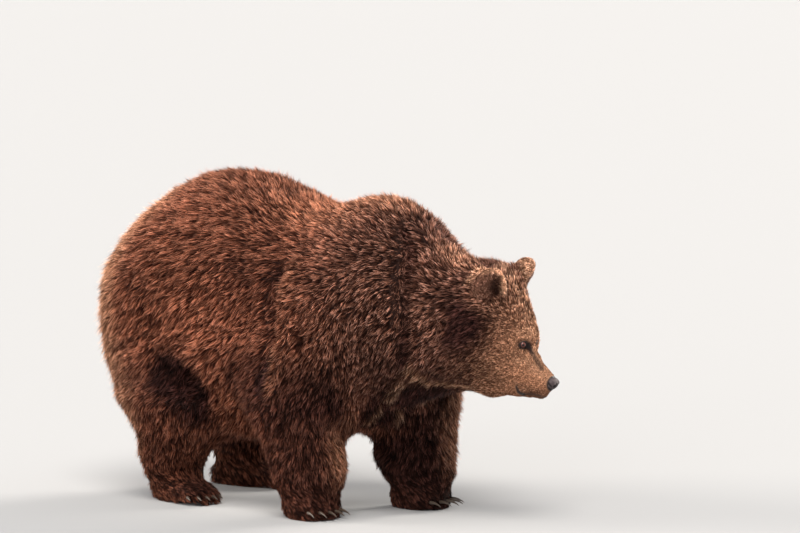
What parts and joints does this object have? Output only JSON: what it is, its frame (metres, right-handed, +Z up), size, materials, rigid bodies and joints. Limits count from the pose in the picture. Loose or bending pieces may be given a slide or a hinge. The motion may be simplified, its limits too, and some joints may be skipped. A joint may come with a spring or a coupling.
{
  "type": "brown bear",
  "caption": "Life-size standing brown bear in full winter coat, head lowered and turned a little to its left, as a still model resting on four flat soles.",
  "frame": {"origin": "on the ground at the middle of the bear's footprint box", "axes": "+X forward, the way the body faces; +Y to the bear's left; +Z up"},
  "size_m": [1.666, 0.7814, 1.012],
  "materials": {
    "coat": "long soft winter fur, chestnut brown with paler tips",
    "leg_coat": "shorter dark brown fur",
    "face_coat": "short golden brown fur",
    "nose_leather": "moist pebbled black-brown skin",
    "eye": "wet dark brown",
    "claw_horn": "dark worn horn"
  },
  "bodies": {
    "root": {"trunk": "coat", "tail": "coat", "neck": "coat", "head": "face_coat", "lower_jaw": "face_coat", "nose": "nose_leather", "ear_right": "face_coat", "ear_left": "face_coat", "eye_right": "eye", "eye_left": "eye", "foreleg_upper_right": "coat", "foreleg_lower_right": "leg_coat", "forepaw_right": "leg_coat", "claw_fore_right_1": "claw_horn", "claw_fore_right_2": "claw_horn", "claw_fore_right_3": "claw_horn", "claw_fore_right_4": "claw_horn", "claw_fore_right_5": "claw_horn", "foreleg_upper_left": "coat", "foreleg_lower_left": "leg_coat", "forepaw_left": "leg_coat", "claw_fore_left_1": "claw_horn", "claw_fore_left_2": "claw_horn", "claw_fore_left_3": "claw_horn", "claw_fore_left_4": "claw_horn", "claw_fore_left_5": "claw_horn", "hindleg_upper_right": "coat", "hindleg_lower_right": "leg_coat", "hindpaw_right": "leg_coat", "claw_hind_right_1": "claw_horn", "claw_hind_right_2": "claw_horn", "claw_hind_right_3": "claw_horn", "claw_hind_right_4": "claw_horn", "claw_hind_right_5": "claw_horn", "hindleg_upper_left": "coat", "hindleg_lower_left": "leg_coat", "hindpaw_left": "leg_coat", "claw_hind_left_1": "claw_horn", "claw_hind_left_2": "claw_horn", "claw_hind_left_3": "claw_horn", "claw_hind_left_4": "claw_horn", "claw_hind_left_5": "claw_horn"}
  },
  "joints": []
}
